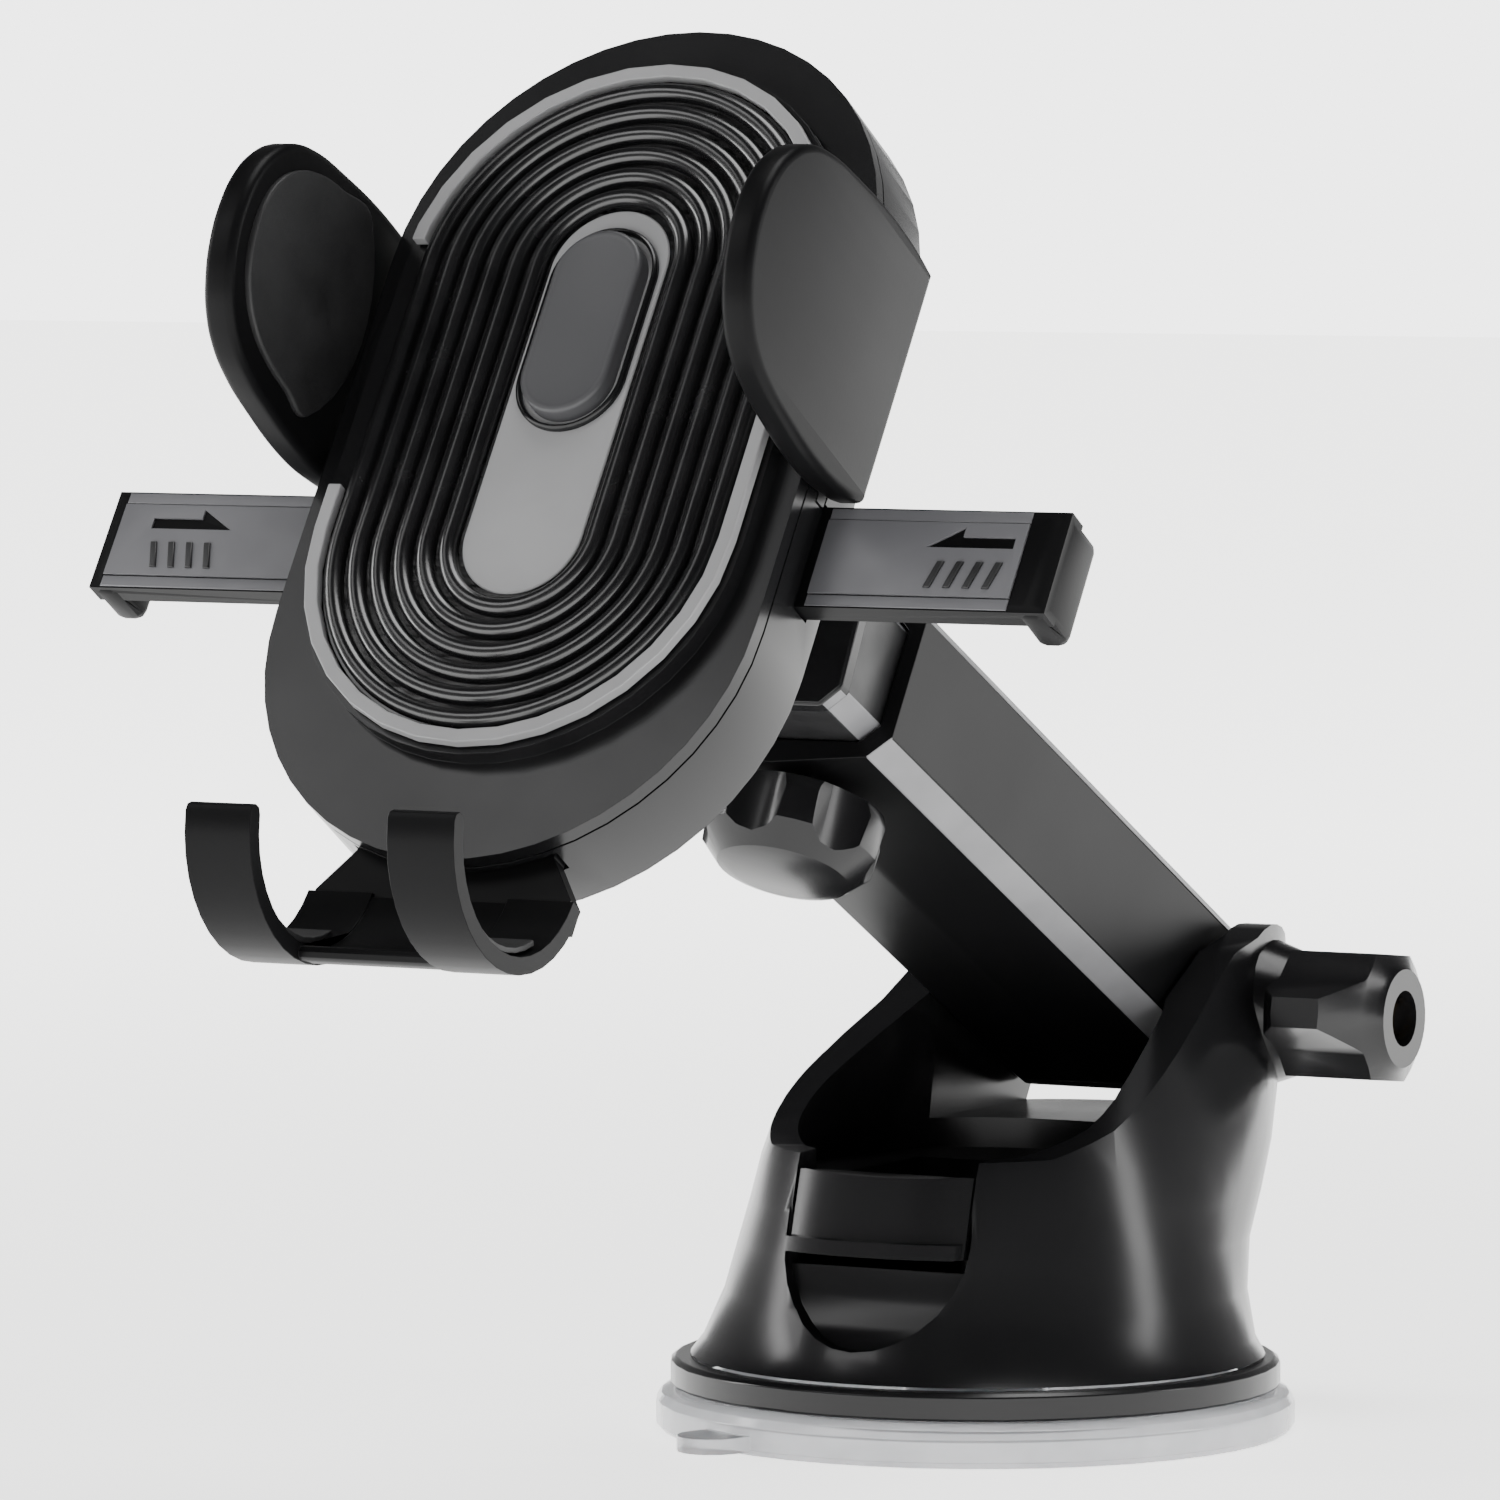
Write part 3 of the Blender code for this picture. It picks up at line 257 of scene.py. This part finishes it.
finishes = {
    # gloss ABS from a polished mould: near black, with wide soft reflections
    "glossAbs": moulded("glossAbs", {
        "tones": ("#131314", "#161617"), "roughness": (0.2, 0.27), "grainMm": 0.5,
        "grainStrength": 0.1, "grainDeepMm": 0.015, "ior": 1.5, "specular": 0.36,
        "cloudMm": 30, "smearMm": 22,
    }),
    # satin ABS from a lightly blasted mould: the same black with a soft spread sheen
    "satinAbs": moulded("satinAbs", {
        "tones": ("#151516", "#1f1f20"), "roughness": (0.38, 0.5), "grainMm": 0.35,
        "grainStrength": 0.2, "ior": 1.53,
    }),
    # a darker copy of the black ABS for the jaws, tube, hooks and bar ends, with hardly any sheen: /
    # painted shade, the deepest black of the mount, so that these parts read darker than the rest
    "shadedAbs": moulded("shadedAbs", {
        "tones": ("#0c0c0d", "#0e0e0f"), "roughness": (0.38, 0.42), "grainMm": 0.4,
        "grainStrength": 0.2, "ior": 1.5, "specular": 0.1, "cloudMm": 30, "smearMm": 26,
    }),
    # grey ABS of the release bars: an even mid grey with a fine satin grain
    "greyAbs": moulded("greyAbs", {
        "tones": ("#5c5c5f", "#616164"), "roughness": (0.34, 0.46), "grainMm": 0.3,
        "grainStrength": 0.22, "ior": 1.53,
    }),
    # the black ABS of the tubes' cut corners painted light grey: a painted highlight standing in for
    # the room they throw back
    "paintedCornerHighlight": moulded("paintedCornerHighlight", {
        "tones": ("#6f6f71", "#7c7c7e"), "roughness": (0.28, 0.4), "grainMm": 0.5,
        "grainStrength": 0.12, "ior": 1.53,
    }),
    # moulded silicone of the ribbed pad: deep black with a soft shine along each rib
    "ribSilicone": moulded("ribSilicone", {
        "tones": ("#0d0d0e", "#131314"), "roughness": (0.2, 0.28), "grainMm": 0.4,
        "grainStrength": 0.08, "ior": 1.43, "specular": 1.0,
    }),
    # soft rubber of the jaw pads: black, matt, with a spark-eroded grain, which is finer than the
    # 0.5 mm drawn here so that it shows
    "softRubber": moulded("softRubber", {
        "tones": ("#131314", "#1c1c1d"), "roughness": (0.5, 0.66), "grainMm": 0.5,
        "grainStrength": 0.5, "grainDeepMm": 0.05, "ior": 1.5,
    }),
    # painted trim of the ring and the recess: a light silver grey, satin
    "silverTrim": moulded("silverTrim", {
        "tones": ("#8c8c8d", "#919192"), "roughness": (0.36, 0.46), "grainMm": 0.25,
        "grainStrength": 0.12, "ior": 1.5,
    }),
    # button face: dark grey with a fine moulded texture
    "buttonGrey": moulded("buttonGrey", {
        "tones": ("#424244", "#464648"), "roughness": (0.42, 0.54), "grainMm": 0.35,
        "grainStrength": 0.4, "grainDeepMm": 0.03, "ior": 1.5, "cloudMm": 30, "smearMm": 22,
    }),
    # polyurethane gel of the suction pad: smoky clear, wet looking, slightly uneven inside
    "clearGel": moulded("clearGel", {
        "tones": ("#8e8f92", "#a2a3a6"), "roughness": (0.1, 0.2), "grainMm": 3.0,
        "grainStrength": 0.2, "grainDeepMm": 0.1, "ior": 1.45, "clear": 0.4, "milky": 0.1,
    }),
    # zinc-plated steel: bright grey metal with a slight haze
    "zincSteel": moulded("zincSteel", {
        "tones": ("#a9aaac", "#bcbdbe"), "roughness": (0.25, 0.38), "grainMm": 0.4, "metallic": 1.0,
    }),
    # natural acetal: waxy off-white with a low sheen
    "acetal": moulded("acetal", {
        "tones": ("#dcdad2", "#e8e6df"), "roughness": (0.35, 0.45), "grainMm": 0.5, "milky": 0.15,
    }),
    # turned brass: warm yellow metal
    "turnedBrass": moulded("turnedBrass", {
        "tones": ("#c09a4a", "#cfac5e"), "roughness": (0.25, 0.36), "grainMm": 0.4, "metallic": 1.0,
    }),
}
print("finishes made")


def filePiece(name, bm, finishNames, node, replaced=(), smoothAngle=32):
    mesh = bpy.data.meshes.new(name)
    bm.to_mesh(mesh)
    bm.free()
    spare = mesh.attributes.get("custom_normal")
    if spare:
        mesh.attributes.remove(spare)
    for finishName in finishNames:
        mesh.materials.append(finishes[finishName])
    mesh.shade_smooth()
    mesh.set_sharp_from_angle(angle=radians(smoothAngle))
    piece = bpy.data.objects.new(name, mesh)
    bpy.context.scene.collection.objects.link(piece)
    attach(piece, bodyOf[node])
    if replaced:
        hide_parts(*replaced)
    return piece


def eased(node, look):
    # a merged copy of a frame part with its hard edges eased, standing for that part
    bm = bmesh.new()
    bm.from_mesh(frame["nodes"][node].data)
    bmesh.ops.remove_doubles(bm, verts=bm.verts, dist=0.01 * mm)
    bmesh.ops.dissolve_limit(bm, angle_limit=radians(0.8), verts=bm.verts, edges=bm.edges)
    for face in bm.faces:
        face.material_index = 0
        # faces along a listed corner take the second finish, a painted highlight on the tube chamfers
        for direction in look.get("corners", ()):
            if face.normal.dot(direction) > 0.985:
                face.material_index = 1
    piece = filePiece(node + "Skin", bm, look["finish"], node, (node,), 80)
    soften = piece.modifiers.new("easedEdges", "BEVEL")
    soften.width = look["edgeMm"] * mm
    soften.segments = 3
    soften.limit_method = "ANGLE"
    soften.angle_limit = radians(look.get("fromAngle", 30))
    soften.harden_normals = True
    return piece


def longLoop(bm, halfWidth, depth, straight, middle, sides=96):
    # a round-ended loop in the head's front plane
    verts = bmesh.ops.create_circle(bm, segments=sides, radius=halfWidth)["verts"]
    step = Matrix.Rotation(pi / sides, 3, "Z")
    bmesh.ops.rotate(bm, cent=(0, 0, 0), matrix=step, verts=verts)
    bmesh.ops.rotate(bm, cent=(0, 0, 0), matrix=Matrix.Rotation(pi / 2, 3, "X"), verts=verts)
    for side in (1, -1):
        half = [v for v in verts if side * v.co.z > 0]
        bmesh.ops.translate(bm, vec=(0, 0, side * straight), verts=half)
    bmesh.ops.translate(bm, vec=(0, depth, middle), verts=verts)
    return list({edge for v in verts for edge in v.link_edges})


def longShape(rows, straight, middle, ring=False):
    # loops of (half width, depth) in mm, skinned in turn, then closed by caps or into a ring
    bm = bmesh.new()
    loops = [
        longLoop(bm, width * mm, depth * mm, straight * mm, middle * mm) for width, depth in rows
    ]
    for a, b in zip(loops, loops[1:]):
        bmesh.ops.bridge_loops(bm, edges=a + b)
    if ring:
        bmesh.ops.bridge_loops(bm, edges=loops[-1] + loops[0])
    else:
        bmesh.ops.contextual_create(bm, geom=loops[0])
        bmesh.ops.contextual_create(bm, geom=loops[-1])
    bmesh.ops.recalc_face_normals(bm, faces=bm.faces)
    return bm


# turn an outline drawn flat to face the front of the head, or its side
frontFace = Matrix(((1, 0, 0, 0), (0, 0, -1, 0), (0, 1, 0, 0), (0, 0, 0, 1)))
sideFace = Matrix(((0, 0, 1, 0), (1, 0, 0, 0), (0, 1, 0, 0), (0, 0, 0, 1)))


def cutShape(outlines, low, high, edge, face, curved=True):
    # flat outlines in mm given a thickness and a rounded edge; those after the first are holes
    curve = bpy.data.curves.new("outline", "CURVE")
    curve.dimensions = "2D"
    curve.fill_mode = "BOTH"
    curve.extrude = ((high - low) / 2 - edge) * mm
    curve.bevel_depth = edge * mm
    curve.bevel_resolution = 3
    curve.offset = -edge * mm
    curve.resolution_u = 10
    for points in outlines:
        spline = curve.splines.new("BEZIER" if curved else "POLY")
        if curved:
            spline.bezier_points.add(len(points) - 1)
            for point, (a, b) in zip(spline.bezier_points, points):
                point.co = (a * mm, b * mm, 0)
                point.handle_left_type = point.handle_right_type = "AUTO"
        else:
            spline.points.add(len(points) - 1)
            for point, (a, b) in zip(spline.points, points):
                point.co = (a * mm, b * mm, 0, 1)
        spline.use_cyclic_u = True
    holder = bpy.data.objects.new("outline", curve)
    bpy.context.scene.collection.objects.link(holder)
    graph = bpy.context.evaluated_depsgraph_get()
    mesh = bpy.data.meshes.new_from_object(holder.evaluated_get(graph))
    bpy.data.objects.remove(holder, do_unlink=True)
    bm = bmesh.new()
    bm.from_mesh(mesh)
    bmesh.ops.remove_doubles(bm, verts=bm.verts, dist=0.001 * mm)
    bmesh.ops.transform(bm, matrix=face, verts=bm.verts)
    middle = (low + high) / 2 * mm
    bmesh.ops.translate(bm, vec=face @ Vector((0, 0, middle)), verts=bm.verts)
    if face is frontFace:  # it looks forward, while depth is counted backward
        bmesh.ops.translate(bm, vec=(0, 2 * middle, 0), verts=bm.verts)
    bmesh.ops.recalc_face_normals(bm, faces=bm.faces)
    return bm


def placed(bm, place):
    bmesh.ops.transform(bm, matrix=place, verts=bm.verts)
    return bm


# the four cut corners of the tubes, which take the light grey of a painted highlight
tubeCorners = [
    armPlace.to_3x3() @ Vector((x, y, 0)).normalized() for x, y in ((1, -1), (-1, -1), (1, 1), (-1, 1))
]
easedParts = {
    "base_housing": {"edgeMm": 0.35, "finish": ["glossAbs"], "fromAngle": 38},
    "skirt_ring": {"edgeMm": 0.3, "finish": ["glossAbs"]},
    "suction_lever": {"edgeMm": 0.5, "finish": ["glossAbs"], "fromAngle": 38},
    "pivot_knob": {"edgeMm": 0.7, "finish": ["glossAbs"]},
    "outer_tube": {"edgeMm": 0.35, "finish": ["shadedAbs", "paintedCornerHighlight"], "corners": tubeCorners},
    "inner_tube": {"edgeMm": 0.3, "finish": ["satinAbs", "paintedCornerHighlight"], "corners": tubeCorners},
    "arm_end_cap": {"edgeMm": 0.2, "finish": ["glossAbs", "paintedCornerHighlight"], "corners": tubeCorners},
    "lock_knob": {"edgeMm": 0.7, "finish": ["glossAbs"]},
    "lock_nut": {"edgeMm": 0.4, "finish": ["glossAbs"]},
    "ball_stud": {"edgeMm": 0.4, "finish": ["satinAbs"]},
    "ball_socket": {"edgeMm": 0.4, "finish": ["satinAbs"]},
    "back_shell": {"edgeMm": 0.35, "finish": ["glossAbs"]},
    "front_plate": {"edgeMm": 0.45, "finish": ["glossAbs"]},
    "release_wing_left": {"edgeMm": 0.5, "finish": ["shadedAbs"]},
    "release_wing_right": {"edgeMm": 0.5, "finish": ["shadedAbs"]},
    "accent_ring_top": {"edgeMm": 0.2, "finish": ["silverTrim"]},
    "accent_ring_bottom": {"edgeMm": 0.2, "finish": ["silverTrim"]},
    "foot_slider": {"edgeMm": 0.8, "finish": ["shadedAbs"]},
    "hook_pad_left": {"edgeMm": 0.2, "finish": ["softRubber"]},
    "hook_pad_right": {"edgeMm": 0.2, "finish": ["softRubber"]},
    "suction_pad": {"edgeMm": 0.5, "finish": ["clearGel"]},
}
for nodeName, look in easedParts.items():
    eased(nodeName, look)
print("eased parts made")

plainParts = {
    "satinAbs": ["base_plate", "rack_left", "rack_right"],
    "softRubber": ["brake_shoe"],
    "zincSteel": [
        "base_screw_1", "base_screw_2", "base_screw_3", "base_screw_4", "lever_pin", "pull_rod",
        "pivot_bolt", "lock_screw", "head_screw_1", "head_screw_2", "head_screw_3", "head_screw_4",
        "pinion_pin", "jaw_spring", "button_spring",
    ],
    "acetal": ["pivot_washer_left", "pivot_washer_right", "ball_liner", "socket_cup", "pinion"],
    "turnedBrass": ["pivot_insert"],
}
for finishName, nodeNames in plainParts.items():
    for nodeName in nodeNames:
        slots = frame["nodes"][nodeName].material_slots
        for index in range(len(slots)):
            slots[index].material = finishes[finishName]
print("inner parts given their finishes")


# sizes of the new pieces are in mm, across and up the head, with depth behind its front face
pad = {
    "straight": 19.0,
    "inner": 8.5,
    "outer": 26.9,
    "ribs": 6,
    "grooveDepth": 1.0,
    "ribTop": -0.25,
}


def makePad(look):
    pitch = (look["outer"] - look["inner"]) / look["ribs"]
    rows = []
    for i in range(look["ribs"]):
        start = look["inner"] + i * pitch
        top, low = look["ribTop"], look["grooveDepth"]
        for share, depth in (
            (0.0, low), (0.1, low), (0.14, 0.45), (0.22, 0.08), (0.34, top + 0.08), (0.5, top),
            (0.66, top + 0.08), (0.78, 0.08), (0.86, 0.45), (0.9, low),
        ):
            rows.append((start + share * pitch, depth))
    rows += [(look["outer"], look["grooveDepth"]), (look["outer"], 1.4), (look["inner"], 1.4)]
    bm = placed(longShape(rows, look["straight"], 0, True), headPlace)
    filePiece("ribbedPad", bm, ["ribSilicone"], "ribbed_pad", ("ribbed_pad",), 50)


makePad(pad)

recess = {"straight": 19.0, "half": 8.1, "buttonStraight": 7.0, "buttonMiddle": 9.9, "collarHalf": 7.4}


def makeRecess(look):
    floorRows = [(look["half"], 1.4), (look["half"], 0.85), (look["half"] - 0.15, 0.7)]
    bm = placed(longShape(floorRows, look["straight"], 0), headPlace)
    filePiece("recessFloor", bm, ["silverTrim"], "recess_panel", ("recess_panel",), 40)
    half = look["collarHalf"]
    collarRows = [
        (half, 1.0), (half, 0.25), (half - 0.12, 0.0), (half - 0.35, -0.12), (half - 0.62, 0.0),
        (half - 0.72, 0.3), (half - 0.72, 1.0),
    ]
    bm = placed(longShape(collarRows, look["buttonStraight"], look["buttonMiddle"], True), headPlace)
    filePiece("buttonCollar", bm, ["glossAbs"], "recess_panel", (), 50)


makeRecess(recess)

button = {"half": 6.0, "straight": 7.0, "middle": 9.9, "proud": 1.8, "rim": 0.6}


def makeButton(look):
    half, rim, front = look["half"], look["rim"], -look["proud"]
    rows = [
        (half + 1.4, 7.0), (half + 1.4, 6.4), (half, 6.4), (half, front + rim),
        (half - rim * 0.13, front + rim * 0.5), (half - rim * 0.5, front + rim * 0.13),
        (half - rim, front), (half - rim * 1.5, front + 0.06), (half - rim * 2, front + 0.1),
    ]
    bm = placed(longShape(rows, look["straight"], look["middle"]), headPlace)
    filePiece("triggerButton", bm, ["buttonGrey"], "trigger_button", ("trigger_button",), 40)


makeButton(button)
print("pad, recess and button made")

jaw = {
    "outline": (
        (12.5, 24.4), (12.4, 25.4), (11.2, 25.75), (2, 26.4), (-10, 25.5), (-17.3, 24.2),
        (-21.9, 22.2), (-25.5, 18.7), (-27.6, 14.4), (-28.3, 9.6), (-27.8, 4.8), (-26.1, 0.2),
        (-23.5, -3.5), (-20, -6.1), (-15.5, -7.7), (-10, -8.6),
        (1, -9.2), (7, -8.4), (11.4, -7.2), (12.4, -6.6), (12.5, -5.4),
    ),
    "padOutline": (
        (-3, 22.9), (-11, 22.6), (-17, 21.1), (-21, 18.8), (-23.8, 15.6), (-25.2, 11.9),
        (-25.4, 8), (-24.5, 3.9), (-22.4, 0.4), (-19.2, -2.3), (-15, -4), (-9, -4.9), (-3, -5.2),
    ),
    "inner": 33.6,
    "outer": 37.8,
    "edge": 1.1,
    "padProud": 0.8,
    "padSunk": 0.6,
    "padEdge": 0.35,
}


def makeJaws(look):
    for side, word in ((-1, "left"), (1, "right")):
        low, high = sorted((side * look["inner"], side * look["outer"]))
        bm = placed(cutShape([look["outline"]], low, high, look["edge"], sideFace), headPlace)
        # the jaws take the darker black copy, which paints shade on them
        filePiece(word + "Jaw", bm, ["shadedAbs"], "jaw_" + word, ("jaw_" + word,), 50)
        ends = (look["inner"] - look["padProud"], look["inner"] + look["padSunk"])
        low, high = sorted(side * end for end in ends)
        bm = placed(cutShape([look["padOutline"]], low, high, look["padEdge"], sideFace), headPlace)
        filePiece(word + "JawPad", bm, ["softRubber"], "jaw_pad_" + word, ("jaw_pad_" + word,), 50)


makeJaws(jaw)
print("jaws made")

bar = {
    "from": 34.5,
    "to": {"left": 65.0, "right": 61.5},
    "low": -21.7,
    "high": -8.3,
    "face": 11.1,
    "proud": 0.18,  # less than the play round the bars in the shell, so that the bands slide in
    "bandWidth": 1.5,
    "bandEdge": 0.16,
    "faceLift": 0.1,
    "arrow": ((60.2, -13.4), (60.2, -11.9), (53.2, -11.9), (53.2, -10.6), (48.6, -13.4)),
    "gripBars": (49.8, 52.4, 55.0, 57.6),
    "gripWidth": 0.9,
    "gripLow": -19,
    "gripHigh": -15.4,
    "slant": 1.0,
}


def makeBars(look):
    for side, word in ((-1, "left"), (1, "right")):
        node = "release_wing_" + word
        low, high = look["low"] + look["bandWidth"], look["high"] - look["bandWidth"]
        for bandName, a, b in (("Low", look["low"], low), ("High", high, look["high"])):
            ends = sorted((side * look["from"], side * look["to"][word]))
            outline = ((ends[0], a), (ends[1], a), (ends[1], b), (ends[0], b))
            front, back = look["face"] - look["proud"], look["face"] + 0.3
            bm = cutShape([outline], front, back, look["bandEdge"], frontFace, False)
            filePiece(f"{word}Bar{bandName}Band", placed(bm, headPlace), ["greyAbs"], node, (), 50)
        end = look["to"][word]
        outer = [(look["from"], low + 0.15), (end, low + 0.15), (end, high - 0.15)]
        outer.append((look["from"], high - 0.15))
        outlines = [outer, look["arrow"]]
        outlines = [[(side * x, z) for x, z in outline] for outline in outlines]
        front, back = look["face"] - 0.3, look["face"] + look["faceLift"]
        bm = cutShape(outlines, front, back, 0.05, frontFace, False)
        filePiece(word + "BarFace", placed(bm, headPlace), ["greyAbs"], node, (), 50)
        for i, x in enumerate(look["gripBars"]):
            wide = look["gripWidth"]
            outline = [(side * a, look["gripLow"]) for a in (x, x + wide)]
            outline += [(side * (a + look["slant"]), look["gripHigh"]) for a in (x + wide, x)]
            bm = cutShape([outline], look["face"] - 0.6, look["face"] - 0.2, 0.15, frontFace, False)
            filePiece(f"{word}BarGrip{i + 1}", placed(bm, headPlace), ["satinAbs"], node, (), 50)


makeBars(bar)
print("release bars made")
